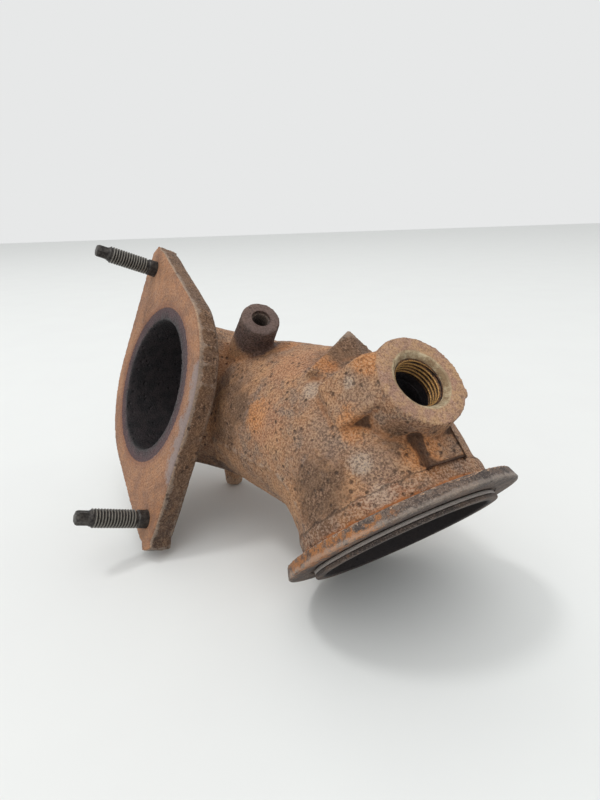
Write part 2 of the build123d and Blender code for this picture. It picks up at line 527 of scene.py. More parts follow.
def skinColour(tree, place, marks, pits):
    # the sand-cast skin: clouds, patches by zone (some of them painted shade), specks (the light ones partly
    # painted glints), rust and painted shade in the creases, and worn corners
    colours = castColours
    colour = blendColour(tree, marks["clouds"], colours["plum"], colours["tan"])
    colour = laid(tree, marks["patches"], 0.45, colour, colours["rust"])
    for zone, over, amount in zoneLayers:
        shifted = plus(tree, attribute(tree, zone), times(tree, marks["broken"], 0.55))
        colour = laid(tree, spread(tree, shifted, 0.1, 1.0), amount, colour, colours[over])
    # the light specks are light rust grains and painted glints; they are dimmed in the brown and dark zones,
    # where shade is partly painted
    darkest = math1(tree, "MAXIMUM", attribute(tree, "brownZone"), attribute(tree, "darkZone"))
    bright = math1(tree, "MAXIMUM", minus(tree, 1.0, darkest), 0.42)
    colour = laid(tree, times(tree, marks["highSpecks"], bright), 0.32, colour, colours["lightSpeckAndGlint"])
    colour = laid(tree, marks["lowSpecks"], 0.52, colour, colours["darkSpeck"])
    colour = laid(tree, times(tree, marks["highDust"], bright), 0.4, colour, colours["lightSpeckAndGlint"])
    crease = attribute(tree, "crease")
    colour = laid(tree, spread(tree, crease, 0.25, 0.7), 0.35, colour, colours["rust"])
    # painted shade: the deepest creases darken almost to black
    colour = laid(tree, spread(tree, crease, 0.6, 1.1), 0.8, colour, colours["crease"])
    worn = useGroup(tree, wear, place=place, edge=attribute(tree, "edge"), breakUp=1.2, size=1.6)
    colour = laid(tree, worn.outputs["worn"], 0.3, colour, colours["paleWear"])
    return laid(tree, pits, 0.7, colour, colours["darkSpeck"])


def sideBossColour(tree, place, marks, colour):
    # the small boss: dark scale and painted shade on its sides, its drilled end face a little lighter
    sizes = finishSizes
    sx, sy, sz = seenFrom(tree, place, sideFrame)
    inside = falling(tree, across(tree, sx, sy), *sizes["bossRadius"])
    onBoss = times(tree, inside, within(tree, sz, *sizes["bossDepth"], 2.5))
    bossTone = blendColour(tree, marks["specks"], tone(44, 34, 33), tone(92, 72, 68))
    bossTone = laid(tree, spread(tree, sz, *sizes["bossFace"]), 0.45, bossTone, tone(112, 92, 88))
    return laid(tree, onBoss, 0.85, colour, bossTone)


def collarColour(tree, place, marks, colour):
    # the collar behind the clamp rim: a dark line, a paler band and a rusty corner
    sizes = finishSizes
    ox, oy, oz = seenFrom(tree, place, outletFrame)
    nearRim = falling(tree, across(tree, ox, oy), *sizes["collarRadius"])
    ragged = plus(tree, oz, times(tree, centred(tree, marks["patches"]), 0.9))
    band = times(tree, within(tree, ragged, *sizes["paleBand"], 0.5), nearRim)
    colour = laid(tree, times(tree, band, marks["highSpecks"]), 0.4, colour, tone(190, 164, 146))
    line = times(tree, within(tree, ragged, *sizes["darkLine"], 0.3), nearRim)
    colour = laid(tree, line, 0.6, colour, castColours["darkSpeck"])
    corner = times(tree, within(tree, ragged, *sizes["rustyCorner"], 0.3), nearRim)
    return laid(tree, corner, 0.7, colour, tone(178, 108, 54))


def faceColour(tree, marks, rings, faceRadius):
    # the machined face: tan and orange, dark round the bore and grey along one edge
    sizes = finishSizes
    face = blendColour(tree, marks["clouds"], tone(136, 97, 74), tone(166, 122, 91))
    face = laid(tree, rings, 0.5, face, tone(112, 80, 64))
    face = laid(tree, marks["patches"], 0.35, face, tone(184, 124, 76))
    face = laid(tree, marks["lowSpecks"], 0.45, face, tone(92, 66, 54))
    face = laid(tree, marks["highDust"], 0.3, face, tone(206, 172, 140))
    face = laid(tree, falling(tree, faceRadius, *sizes["boreHalo"]), 0.55, face, tone(122, 82, 64))
    recessTone = blendColour(tree, marks["dust"], tone(56, 40, 44), tone(100, 76, 76))
    face = blendColour(tree, falling(tree, faceRadius, *sizes["recessEdge"]), face, recessTone)
    rim = plus(tree, attribute(tree, "faceRim"), times(tree, marks["broken"], 0.4))
    return laid(tree, spread(tree, rim, 0.35, 0.8), 0.75, face, tone(136, 127, 126))


def portColour(tree, marks, portRadius, pz, onPort, colour):
    # the sensor port's face, tan and pink, and the pale chamfer at its mouth
    sizes = finishSizes
    portTone = blendColour(tree, marks["patches"], tone(146, 110, 92), tone(172, 136, 98))
    portTone = laid(tree, marks["lowSpecks"], 0.5, portTone, tone(102, 76, 60))
    portTone = laid(tree, marks["highDust"], 0.4, portTone, tone(216, 188, 164))
    colour = laid(tree, onPort, 0.85, colour, portTone)
    ragged = plus(tree, portRadius, times(tree, marks["broken"], 0.5))
    inMouth = within(tree, pz, *sizes["mouthDepth"], 0.1)
    mouth = times(tree, inMouth, falling(tree, ragged, *sizes["mouthRadius"]))
    mouthTone = blendColour(tree, marks["patches"], tone(138, 116, 86), tone(198, 182, 150))
    return laid(tree, mouth, 0.85, colour, mouthTone)


def rustedIron():
    material, tree, shader, place = newMaterial("rustedIron")
    sizes = finishSizes
    group = useGroup(tree, mottle, place=place, cloudSize=15.0, speckSize=0.75)
    grain = useGroup(tree, grainHeight, place=place, grainSize=0.75, pitSize=2.2, pitDepth=0.9)
    marks = {name: group.outputs[name] for name in ("clouds", "patches", "specks", "dust")}
    halfSpecks = times(tree, centred(tree, marks["specks"]), 0.5)
    marks["broken"] = plus(tree, centred(tree, marks["patches"]), halfSpecks)
    marks["lowSpecks"] = falling(tree, marks["specks"], 0.0, 0.5)
    marks["highSpecks"] = spread(tree, marks["specks"], 0.55, 1.0)
    marks["highDust"] = spread(tree, marks["dust"], 0.5, 1.0)

    colour = skinColour(tree, place, marks, grain.outputs["pits"])
    colour = sideBossColour(tree, place, marks, colour)
    colour = collarColour(tree, place, marks, colour)

    cx, cy, cz = seenFrom(tree, place, castingFrame)
    faceRadius = across(tree, cy, cz)
    machined = falling(tree, cx, *sizes["faceDepth"])
    rings = useGroup(tree, turning, radius=faceRadius, place=place).outputs["rings"]
    colour = blendColour(tree, machined, colour, faceColour(tree, marks, rings, faceRadius))

    px, py, pz = seenFrom(tree, place, portFrame)
    portRadius = across(tree, px, py)
    level = within(tree, pz, *sizes["portFaceDepth"], 0.1)
    onPort = times(tree, level, falling(tree, portRadius, *sizes["portFaceRadius"]))
    colour = portColour(tree, marks, portRadius, pz, onPort, colour)

    # soot and dark scale inside
    deep = within(tree, pz, *sizes["portInside"], 0.2)
    inPort = times(tree, falling(tree, portRadius, *sizes["portInsideRadius"]), deep)
    bore = math1(tree, "MAXIMUM", attribute(tree, "bore"), inPort)
    soot = blendColour(tree, marks["patches"], tone(20, 17, 20), tone(44, 36, 38))
    connect(tree, shader.inputs["Base Color"], blendColour(tree, bore, colour, soot))
    rough = spread(tree, marks["specks"], 0.0, 1.0, 0.82, 0.6)
    connect(tree, shader.inputs["Roughness"], minus(tree, rough, times(tree, bore, 0.15)))
    shader.inputs["Specular IOR Level"].default_value = 0.4

    # the grain is weaker on the machined faces, and the face has its rings instead
    kept = minus(tree, minus(tree, 1.0, times(tree, machined, 0.8)), times(tree, onPort, 0.6))
    height = times(tree, grain.outputs["height"], kept)
    height = minus(tree, height, times(tree, times(tree, rings, machined), 0.12))
    bumpFrom(tree, shader, height, 0.85)
    return material


def makeTurning():
    # fine rings left by a facing tool, worn away here and there
    tree, ins, outs = newGroup("turningMarks", "ShaderNodeTree", [
        ("place", "NodeSocketVector", None), ("radius", "NodeSocketFloat", 0.0)], [
        ("rings", "NodeSocketFloat")])
    along = put(tree, "ShaderNodeTexNoise", {"noise_dimensions": "1D"}, {
        "W": ins.outputs["radius"], "Scale": 1.1, "Detail": 3.0, "Roughness": 0.8}).outputs[0]
    kept = noiseOf(tree, ins.outputs["place"], 16.0, 3.0)
    rings = times(tree, spread(tree, along, 0.42, 0.62), spread(tree, kept, 0.3, 0.6, 0.3, 1.0))
    connect(tree, outs.inputs["rings"], rings)
    return tree


turning = makeTurning()


def clampIron():
    # the turned clamp flange: dark scale with grey scratches, rust at one side
    material, tree, shader, place = newMaterial("clampIron")
    marks = useGroup(tree, mottle, place=place, cloudSize=9.0, speckSize=0.9).outputs
    grain = useGroup(tree, grainHeight, place=place, grainSize=0.7, pitSize=2.4, pitDepth=0.6)
    patches, dust = marks["patches"], marks["dust"]
    colour = blendColour(tree, marks["clouds"], tone(60, 50, 46), tone(98, 80, 68))
    colour = laid(tree, spread(tree, dust, 0.55, 1.0), 0.5, colour, tone(164, 148, 136))
    colour = laid(tree, falling(tree, marks["specks"], 0.0, 0.45), 0.65, colour, tone(42, 34, 32))
    rustSide = plus(tree, attribute(tree, "rustZone"), times(tree, centred(tree, patches), 0.7))
    rustTone = blendColour(tree, dust, tone(120, 80, 46), tone(172, 110, 58))
    colour = blendColour(tree, spread(tree, rustSide, 0.3, 0.8), colour, rustTone)
    edge = attribute(tree, "edge")
    worn = useGroup(tree, wear, place=place, edge=edge, breakUp=1.3, size=2.2).outputs["worn"]
    colour = laid(tree, worn, 0.3, colour, tone(176, 162, 148))
    colour = laid(tree, attribute(tree, "sootZone"), 0.93, colour, tone(34, 29, 31))
    connect(tree, shader.inputs["Base Color"], colour)
    connect(tree, shader.inputs["Roughness"], spread(tree, worn, 0.0, 1.0, 0.74, 0.5))
    bumpFrom(tree, shader, grain.outputs["height"], 0.32)
    return material


def oxideSteel(name, light, dark, crestTone):
    # black oxide on a bolt: darker in the roots, rubbed to grey on the crests
    material, tree, shader, place = newMaterial(name)
    marks = useGroup(tree, mottle, place=place, cloudSize=5.0, speckSize=0.5).outputs
    colour = blendColour(tree, marks["patches"], dark, light)
    crest = plus(tree, attribute(tree, "crest"), times(tree, centred(tree, marks["dust"]), 0.5))
    colour = blendColour(tree, spread(tree, crest, 0.55, 1.0), colour, crestTone)
    connect(tree, shader.inputs["Base Color"], colour)
    shader.inputs["Metallic"].default_value = 0.55
    connect(tree, shader.inputs["Roughness"], spread(tree, marks["specks"], 0.0, 1.0, 0.38, 0.6))
    bumpFrom(tree, shader, marks["specks"], 0.05)
    return material


castIron = rustedIron()
clampFinish = clampIron()
studSteel = oxideSteel("studSteel", tone(74, 70, 66), tone(42, 39, 38), tone(136, 132, 124))
ringSteel = oxideSteel("ringSteel", tone(84, 74, 70), tone(44, 38, 38), tone(164, 156, 150))
portSteel = oxideSteel("portThreadSteel", tone(104, 70, 40), tone(36, 24, 19), tone(190, 146, 84))
print("materials made")


# Geometry trees

def makeGrainTree():
    # moves the cast skin along its normals: slow lumps, sand grain and pits, where the cast mask is on
    tree, ins, outs = newGroup("castSkin", "GeometryNodeTree", [
        ("Geometry", "NodeSocketGeometry", None), ("Lump Size", "NodeSocketFloat", 9.0),
        ("Lump Height", "NodeSocketFloat", 0.3), ("Grain Size", "NodeSocketFloat", 1.9),
        ("Grain Height", "NodeSocketFloat", 0.2), ("Pit Size", "NodeSocketFloat", 4.0),
        ("Pit Depth", "NodeSocketFloat", 0.25), ("Material", "NodeSocketMaterial", None)],
        [("Geometry", "NodeSocketGeometry")])
    where = tree.nodes.new("GeometryNodeInputPosition").outputs[0]
    normal = tree.nodes.new("GeometryNodeInputNormal").outputs[0]
    cast = put(tree, "GeometryNodeInputNamedAttribute", {"data_type": "FLOAT"}, {"Name": "cast"}).outputs[0]

    def waves(size, height, detail):
        noise = put(tree, "ShaderNodeTexNoise", None, {
            "Vector": where, "Scale": math1(tree, "DIVIDE", 1 / mm, size), "Detail": detail}).outputs[0]
        return times(tree, centred(tree, noise), times(tree, height, 2 * mm))

    lumps = waves(ins.outputs["Lump Size"], ins.outputs["Lump Height"], 2.0)
    grains = waves(ins.outputs["Grain Size"], ins.outputs["Grain Height"], 1.0)
    cells = put(tree, "ShaderNodeTexVoronoi", None, {
        "Vector": where, "Scale": math1(tree, "DIVIDE", 1 / mm, ins.outputs["Pit Size"])})
    chosen = put(tree, "FunctionNodeSeparateColor", None, {"Color": cells.outputs["Color"]}).outputs[0]
    hollow = times(tree, falling(tree, cells.outputs["Distance"], 0.0, 0.35), spread(tree, chosen, 0.6, 0.8))
    pits = times(tree, hollow, times(tree, ins.outputs["Pit Depth"], -mm))
    total = plus(tree, plus(tree, lumps, grains), pits)
    total = times(tree, total, cast)
    offset = put(tree, "ShaderNodeVectorMath", {"operation": "SCALE"}, {
        "Vector": normal, "Scale": total}).outputs[0]
    moved = put(tree, "GeometryNodeSetPosition", None, {
        "Geometry": ins.outputs["Geometry"], "Offset": offset})
    finishTree(tree, moved.outputs[0], ins, outs)
    return tree


def finishTree(tree, geometry, ins, outs):
    whole = put(tree, "GeometryNodeRealizeInstances", None, {"Geometry": geometry})
    coated = put(tree, "GeometryNodeSetMaterial", None, {
        "Geometry": whole.outputs[0], "Material": ins.outputs["Material"]})
    connect(tree, outs.inputs["Geometry"], coated.outputs[0])


def makeThreadTree():
    # a screw thread as a ridge that follows a helix; it fades out at both ends
    tree, ins, outs = newGroup("screwThread", "GeometryNodeTree", [
        ("Pitch", "NodeSocketFloat", 1.25), ("Turns", "NodeSocketFloat", 10.0),
        ("Core Radius", "NodeSocketFloat", 3.4), ("Height", "NodeSocketFloat", 0.6),
        ("Crest Width", "NodeSocketFloat", 0.25), ("Facing", "NodeSocketFloat", 1.0),
        ("Steps", "NodeSocketInt", 40), ("Material", "NodeSocketMaterial", None)],
        [("Geometry", "NodeSocketGeometry")])
    rise = times(tree, ins.outputs["Pitch"], ins.outputs["Turns"])
    radius = ins.outputs["Core Radius"]
    spiral = put(tree, "GeometryNodeCurveSpiral", None, {
        "Resolution": ins.outputs["Steps"], "Rotations": ins.outputs["Turns"],
        "Start Radius": radius, "End Radius": radius, "Height": rise})
    upright = put(tree, "GeometryNodeSetCurveNormal", {"mode": "Z_UP"}, {"Curve": spiral.outputs[0]})
    along = tree.nodes.new("GeometryNodeSplineParameter").outputs["Factor"]
    fromEnd = math1(tree, "MINIMUM", along, minus(tree, 1.0, along))
    fade = spread(tree, times(tree, fromEnd, ins.outputs["Turns"]), 0.0, 0.6, 0.08, 1.0)
    ridge = put(tree, "GeometryNodeCurvePrimitiveQuadrilateral", {"mode": "TRAPEZOID"}, {
        "Height": ins.outputs["Height"], "Bottom Width": times(tree, ins.outputs["Pitch"], 0.96),
        "Top Width": ins.outputs["Crest Width"], "Offset": 0.0})
    lifted = put(tree, "GeometryNodeTransform", None, {
        "Geometry": ridge.outputs[0],
        "Translation": put(tree, "ShaderNodeCombineXYZ", None, {
            "Y": times(tree, ins.outputs["Height"], 0.45)}).outputs[0]})
    turn = put(tree, "ShaderNodeCombineXYZ", None, {"Z": times(tree, ins.outputs["Facing"], math.pi / 2)})
    turned = put(tree, "GeometryNodeTransform", None, {
        "Geometry": lifted.outputs[0], "Rotation": turn.outputs[0]})
    swept = put(tree, "GeometryNodeCurveToMesh", None, {
        "Curve": upright.outputs[0], "Profile Curve": turned.outputs[0], "Scale": fade, "Fill Caps": True})
    finishTree(tree, swept.outputs[0], ins, outs)
    return tree


def makeSplitRingTree():
    # a wire of square section bent round an arc, with a gap between its ends
    tree, ins, outs = newGroup("splitRing", "GeometryNodeTree", [
        ("Radius", "NodeSocketFloat", 33.9), ("Width", "NodeSocketFloat", 1.0),
        ("Thickness", "NodeSocketFloat", 1.2), ("Gap Angle", "NodeSocketFloat", 0.03),
        ("Steps", "NodeSocketInt", 200), ("Material", "NodeSocketMaterial", None)],
        [("Geometry", "NodeSocketGeometry")])
    sweep = minus(tree, 2 * math.pi, ins.outputs["Gap Angle"])
    arc = put(tree, "GeometryNodeCurveArc", {"mode": "RADIUS"}, {
        "Resolution": ins.outputs["Steps"], "Radius": ins.outputs["Radius"], "Sweep Angle": sweep})
    upright = put(tree, "GeometryNodeSetCurveNormal", {"mode": "Z_UP"}, {"Curve": arc.outputs[0]})
    section = put(tree, "GeometryNodeCurvePrimitiveQuadrilateral", {"mode": "RECTANGLE"}, {
        "Width": ins.outputs["Width"], "Height": ins.outputs["Thickness"]})
    rounded = put(tree, "GeometryNodeFilletCurve", {"mode": "POLY"}, {
        "Curve": section.outputs[0], "Count": 2, "Radius": 0.12 * mm, "Limit Radius": True})
    swept = put(tree, "GeometryNodeCurveToMesh", None, {
        "Curve": upright.outputs[0], "Profile Curve": rounded.outputs[0], "Fill Caps": True})
    finishTree(tree, swept.outputs[0], ins, outs)
    return tree


def grown(name, tree, values, mesh=None):
    # runs a geometry tree on a mesh, or on nothing, and keeps the result as a plain mesh
    obj = newObject(name, mesh or bpy.data.meshes.new(name))
    step = obj.modifiers.new("grow", "NODES")
    step.node_group = tree
    for item in tree.interface.items_tree:
        if item.item_type == "SOCKET" and item.in_out == "INPUT" and item.name in values:
            step[item.identifier] = values[item.name]
    baked(obj)
    obj.data.name = name
    return obj


skinTree = makeGrainTree()
threadTree = makeThreadTree()
ringTree = makeSplitRingTree()
print("geometry trees made")


# The casting

castingSizes = {
    "voxel": 0.85,
    "creaseRounds": 36,
    "edgeRounds": 3,
    "boreRadius": 31.0,
    "tubeRadius": 34.3,
    "lineEnds": 5.0,            # how far the tube's line runs on past both faces
    "inletRun": 51.0,           # from the inlet face to the first corner of the tube's line
    "outletRun": 36.5,          # from the last corner to the outlet face
    "inletBend": 36.0,
    "outletBend": 38.0,
    "rimThickness": 4.4,
    "flangeThickness": 10.5,
    "recessRadius": 37.4,
    "recessDepth": 0.4,
    "ridgeHeight": 0.95,
    "ridgeWidth": 1.0,
    "studHole": 4.15,
    "portCut": 10.6,
    "portCore": 8.4,
    "portCutDepth": 13.0,
    "sideCut": 4.0,
    "portMouthRadius": 9.0,
    "portMouthDepth": 1.8,
    "sideDepth": 14.0,
    "webCorners": ((-26.0, -8.0, -25.0), (-12.0, 7.5, -7.5)),
    "webBevel": 0.7,
    "trianglesKept": 190000,
}

# closed ends for the remesh, a little wider than the holes that they fill: radius, low, high
plugSizes = {
    "side": (3.9, -14.5, -0.05),
    "port": (8.6, -12.0, -0.05),
    "mouth": (10.9, -2.0, -0.05),
    "stud": (4.4, 0.05, 10.45),
}

# how the corners and creases are eased: limits in millimetres, shares from 0 to 1
easeSettings = {
    "clampGap": 1.5,
    "collarLevel": -13.0,
    "collarRadius": 37.0,
    "collarFree": 0.2,
    "portRadius": (34.0, 42.0),
    "portLevel": (-36.0, -28.0),
    "sideRadius": (13.0, 20.0),
    "sideCrisp": 0.8,
    "crispHold": 0.93,
    "marksRadius": 46.5,        # the bars and the ring on the flange's edge start here
    "marksDepth": (1.0, 9.5),
    "marksReach": (-20.0, 40.0),
    "fill": 0.6,
    "slide": 0.3,
    "edgeRadius": 45.0,
    "edgeDepth": (1.5, 9.0),
    "edgeFree": 0.25,
    "edgeEase": 0.6,
}

# where the mould halves met: a direction square to the parting surface, in the casting's frame
partingDirection = Vector((-0.25, -0.968, -0.03)).normalized()

# patches of colour, some of them painted shade: zone, (x, y, z) in the casting's frame, radius, all in
# millimetres
colourPatches = [
    ("rustZone", (37, -124, -57), 9), ("rustZone", (33, -62, 3), 10), ("rustZone", (14, -67, -32), 9),
    ("rustZone", (20, -110, -46), 8), ("rustZone", (19, -121, -29), 6), ("rustZone", (23, -97, -20), 7),
    ("salmonZone", (14, -73, -37), 14), ("salmonZone", (24, -80, -14), 17),
    ("salmonZone", (25, -117, -72), 12), ("salmonZone", (40, -140, -70), 10),
    ("plumZone", (18, -103, -48), 11), ("plumZone", (25, -115, -61), 10), ("plumZone", (19, -116, -38), 9),
    ("paleZone", (22, -111, -59), 5), ("paleZone", (19, -94, -30), 5), ("paleZone", (17, -114, -34), 3),
    ("paleZone", (24, -116, -70), 6),
    # painted shade: the brown patches at (15, -53, -25), (5, -46, -13) and (16, -41, -31) darken the neck
    # under the side boss
    ("brownZone", (15, -53, -25), 13), ("brownZone", (17, -96, -66), 17), ("brownZone", (5, -46, -13), 22),
    ("brownZone", (16, -41, -31), 14), ("brownZone", (33, -98, -11), 16), ("brownZone", (32, -120, -52), 9),
    # painted shade: the dark patch at (22, -62, 6) darkens the foot of the side boss
    ("darkZone", (22, -62, 6), 15), ("darkZone", (31, -6, -38), 20),
]

# the same on the web, in the sensor port's frame; the brown patch is painted shade on the web's under face
webPatches = [("brownZone", (-26, 0, -15), 11), ("rustZone", (-22, 10, -20), 9)]


def arcPoints(corner, before, after, radius, count=30):
    turn = before.angle(after)
    hinge = before.cross(after).normalized()
    start = corner - before * radius * math.tan(turn / 2)
    centre = start + hinge.cross(before) * radius
    return [centre + Matrix.Rotation(turn * i / count, 3, hinge) @ (start - centre) for i in range(count + 1)]


def tubeLine():
    # the middle of the bent tube, in the row frame, in metres
    sizes = castingSizes
    first = inletCentre - inletOut * sizes["inletRun"] * mm
    second = outletCentre - outletOut * sizes["outletRun"] * mm
    slant = (second - first).normalized()
    points = [inletCentre + inletOut * sizes["lineEnds"] * mm]
    points += arcPoints(first, -inletOut, slant, sizes["inletBend"] * mm)
    points += arcPoints(second, slant, outletOut, sizes["outletBend"] * mm)
    points.append(outletCentre + outletOut * sizes["lineEnds"] * mm)
    fine = []
    for a, b in zip(points, points[1:]):
        count = max(1, round((b - a).length / mm))
        fine += [a.lerp(b, i / count) for i in range(count)]
    return np.array(fine + [points[-1]])


def fromTube(points, batch=4000):
    # the distance of each point from the tube's middle line, in millimetres, and the way out from it
    line = tubeLine()
    distance = np.empty(len(points))
    away = np.empty_like(points)
    for start in range(0, len(points), batch):
        chunk = slice(start, start + batch)
        gaps = points[chunk, None, :] - line[None]
        lengths = np.linalg.norm(gaps, axis=2)
        nearest = lengths.argmin(axis=1)
        rows = np.arange(len(nearest))
        shortest = lengths[rows, nearest]
        distance[chunk] = shortest / mm
        away[chunk] = gaps[rows, nearest] / shortest[:, None]
    return distance, away


def acrossFlat(local):
    # the distance from the z axis of a frame
    return np.hypot(local[:, 0], local[:, 1])


def between(values, limits):
    return (values > limits[0]) & (values < limits[1])


def roughCasting():
    # the CAD casting with its bores plugged and its clamp end cut off, remeshed evenly
    sizes = castingSizes
    work = bmesh.new()
    work.from_mesh(frame["nodes"]["elbow_casting"].data)
    bmesh.ops.remove_doubles(work, verts=work.verts, dist=0.001 * mm)
    mesh = bpy.data.meshes.new("casting")
    work.to_mesh(mesh)
    work.free()
    obj = newObject("castingBody", mesh)
    clampCut = cylinderMesh("clampCut", outletFrame, 60, 1 - sizes["rimThickness"], 12)
    combine(obj, clampCut, solver="EXACT")
    work = bmesh.new()
    work.from_mesh(obj.data)
    plugs = [cylinderMesh("sidePlug", sideFrame, *plugSizes["side"])]
    plugs += [cylinderMesh(name + "Plug", portFrame, *plugSizes[name]) for name in ("port", "mouth")]
    for point in studPoints.values():
        plugs.append(cylinderMesh("studPlug", axes(point, -inletOut, studLine), *plugSizes["stud"]))
    for plug in plugs:
        work.from_mesh(plug)
    work.to_mesh(obj.data)
    work.free()
    step = obj.modifiers.new("even", "REMESH")
    step.mode = "VOXEL"
    step.voxel_size = sizes["voxel"] * mm
    baked(obj)
    return obj


def crispShare(face, port, side):
    # 1 where the shape has to stay crisp: the feet of the bosses and the marks on the flange's edge
    ease = easeSettings
    nearPort = 1 - smoothStep(acrossFlat(port), *ease["portRadius"])
    nearPort *= smoothStep(port[:, 2], *ease["portLevel"])
    nearSide = 1 - smoothStep(acrossFlat(side), *ease["sideRadius"])
    crisp = np.maximum(nearPort, nearSide * ease["sideCrisp"])
    low, high = ease["marksReach"]
    farOut = np.hypot(face[:, 1], face[:, 2]) > ease["marksRadius"]
    onEdge = between(face[:, 0], ease["marksDepth"]) & farOut
    return np.maximum(crisp, onEdge & (face[:, 1] < low) & (np.abs(face[:, 2]) < high))


def softenCasting(obj):
    # fills the creases as a pattern maker's fillets would, then rounds the corners
    sizes, ease = castingSizes, easeSettings
    mesh = obj.data
    points, edges = positions(mesh), edgesOf(mesh)
    face, outlet, port, side = (
        inFrame(points, place) for place in (castingFrame, outletFrame, portFrame, sideFrame))
    atClamp = outlet[:, 2] > -sizes["rimThickness"] - ease["clampGap"]
    offTube = between(acrossFlat(outlet), (sizes["tubeRadius"] + 0.8, ease["collarRadius"]))
    collar = (outlet[:, 2] > ease["collarLevel"]) & offTube
    crisp = crispShare(face, port, side)
    free = np.where(atClamp, 0.0, np.where(collar, ease["collarFree"], 1.0)) * (1 - ease["crispHold"] * crisp)
    for i in range(sizes["creaseRounds"]):
        if i % 5 == 0:
            setPositions(mesh, points)
            normals = normalsOf(mesh)
        pull = neighbourMean(points, edges) - points
        outward = (pull * normals).sum(axis=1)
        slide = pull - normals * outward[:, None]
        rise = normals * np.maximum(outward, 0)[:, None]
        points = points + (rise * ease["fill"] + slide * ease["slide"]) * free[:, None]
    farOut = np.hypot(face[:, 1], face[:, 2]) > ease["edgeRadius"]
    flangeEdge = between(face[:, 0], ease["edgeDepth"]) & farOut
    rounding = np.where(flangeEdge, ease["edgeFree"], 1.0 - 0.5 * crisp) * np.where(atClamp, 0.0, 1.0)
    for i in range(sizes["edgeRounds"]):
        points = points + (neighbourMean(points, edges) - points) * ease["edgeEase"] * rounding[:, None]
    setPositions(mesh, points)


def flattenMachined(obj):
    # puts the machined faces back on their true planes and turns the gasket recess
    sizes = castingSizes
    mesh = obj.data
    points, normals = positions(mesh), normalsOf(mesh)
    local = inFrame(points, castingFrame)
    onFace = (normals @ np.array(inletOut) > 0.72) & (local[:, 0] < 1.2)
    inRecess = np.hypot(local[:, 1], local[:, 2]) < sizes["recessRadius"]
    depth = np.where(inRecess, sizes["recessDepth"], 0.0)
    local[:, 0] = np.where(onFace, depth, np.maximum(local[:, 0], 0.02))
    port = inFrame(outOfFrame(local, castingFrame), portFrame)
    nearFace = (np.abs(port[:, 2]) < 0.9) & (acrossFlat(port) < finishSizes["portFaceRadius"][0])
    onPort = (normals @ np.array(portOut) > 0.8) & nearFace
    port[:, 2] = np.where(onPort, 0.0, port[:, 2])
    setPositions(mesh, outOfFrame(port, portFrame))


def addWeb(obj):
    # the stubby web under the sensor port, put back with sharp corners
    low, high = (Vector(corner) for corner in castingSizes["webCorners"])
    work = bmesh.new()
    bmesh.ops.create_cube(work, size=1.0)
    for vert in work.verts:
        part = Vector(vert.co) + Vector((0.5, 0.5, 0.5))
        vert.co = portFrame @ (Vector([a + (b - a) * t for a, b, t in zip(low, high, part)]) * mm)
    bmesh.ops.bevel(
        work, geom=work.edges[:], offset=castingSizes["webBevel"] * mm, offset_type="OFFSET",
        segments=2, profile=0.5, affect="EDGES")
    mesh = bpy.data.meshes.new("web")
    work.to_mesh(mesh)
    work.free()
    combine(obj, mesh, "UNION")


def raisePartingLine(obj):
    # the thin ridge where the mould halves met, along the bare tube
    sizes = castingSizes
    mesh = obj.data
    points, normals = positions(mesh), normalsOf(mesh)
    distance, away = fromTube(points)
    casting = inFrame(points, castingFrame)
    parting = np.array(castingFrame.to_3x3()) @ np.array(partingDirection)
    offset = (away @ parting) * distance
    ridge = np.exp(-(offset / sizes["ridgeWidth"]) ** 2)
    ridge *= smoothStep(distance, 33.2, 33.8) * (1 - smoothStep(distance, 37.5, 39.5))
    ridge *= smoothStep(casting[:, 0], 11, 14)
    ridge *= 0.7 + 0.3 * np.sin(casting[:, 2] * 0.9) * np.sin(casting[:, 1] * 0.53 + 1)
    outlet = inFrame(points, outletFrame)[:, 2]
    ridge *= 1 - smoothStep(outlet, -16, -12)
    setPositions(mesh, points + normals * (ridge * sizes["ridgeHeight"] * mm)[:, None])


def offDisc(local, radius, low, high):
    # 0 on a disc at the origin of a frame, 1 away from it
    beyond = np.maximum(0, acrossFlat(local) - radius)
    return smoothStep(np.abs(local[:, 2]) + beyond, low, high)


def maskCast(obj):
    # 1 on the raw cast skin, 0 on what was machined and little in the bore
    mesh = obj.data
    points = positions(mesh)
    casting, port, outlet, side = (
        inFrame(points, place) for place in (castingFrame, portFrame, outletFrame, sideFrame))
    distance, away = fromTube(points)
    masks = [
        smoothStep(casting[:, 0], 0.6, 2.0),
        offDisc(port, 22, 0.3, 1.5),
        smoothStep(distance, 32.2, 33.2) * 0.85 + 0.15,
        1 - smoothStep(outlet[:, 2], -6.5, -5.2),
        offDisc(side, 9, 0.2, 1.0) * 0.7 + 0.3,
    ]
    storeFloat(mesh, "cast", np.minimum.reduce(masks))


def cutHoles(obj):
    sizes = castingSizes
    mouth, depth = sizes["portMouthRadius"], sizes["portMouthDepth"]
    above = 0.6                 # how far the chamfer's cutter stands over the face, at the same slope
    widest = mouth + (sizes["portCut"] - mouth) * (depth + above) / depth
    cuts = [
        cylinderMesh("portMouth", portFrame, mouth, -depth, above, topRadius=widest),
        cylinderMesh("portBore", portFrame, mouth, -sizes["portCutDepth"], 0.1 - depth),
        cylinderMesh("portCore", portFrame, sizes["portCore"], -2 * sizes["portCutDepth"], -5),
        cylinderMesh("sideBore", sideFrame, sizes["sideCut"], -sizes["sideDepth"], 3),
    ]
    for point in studPoints.values():
        cuts.append(cylinderMesh("studBore", axes(point, -inletOut, studLine), sizes["studHole"], -2, 9))
    for cut in cuts:
        combine(obj, cut)


def thinOut(obj, triangles):
    obj.data.calc_loop_triangles()
    count = len(obj.data.loop_triangles)
    if count > triangles:
        step = obj.modifiers.new("thin", "DECIMATE")
        step.ratio = triangles / count
        baked(obj)


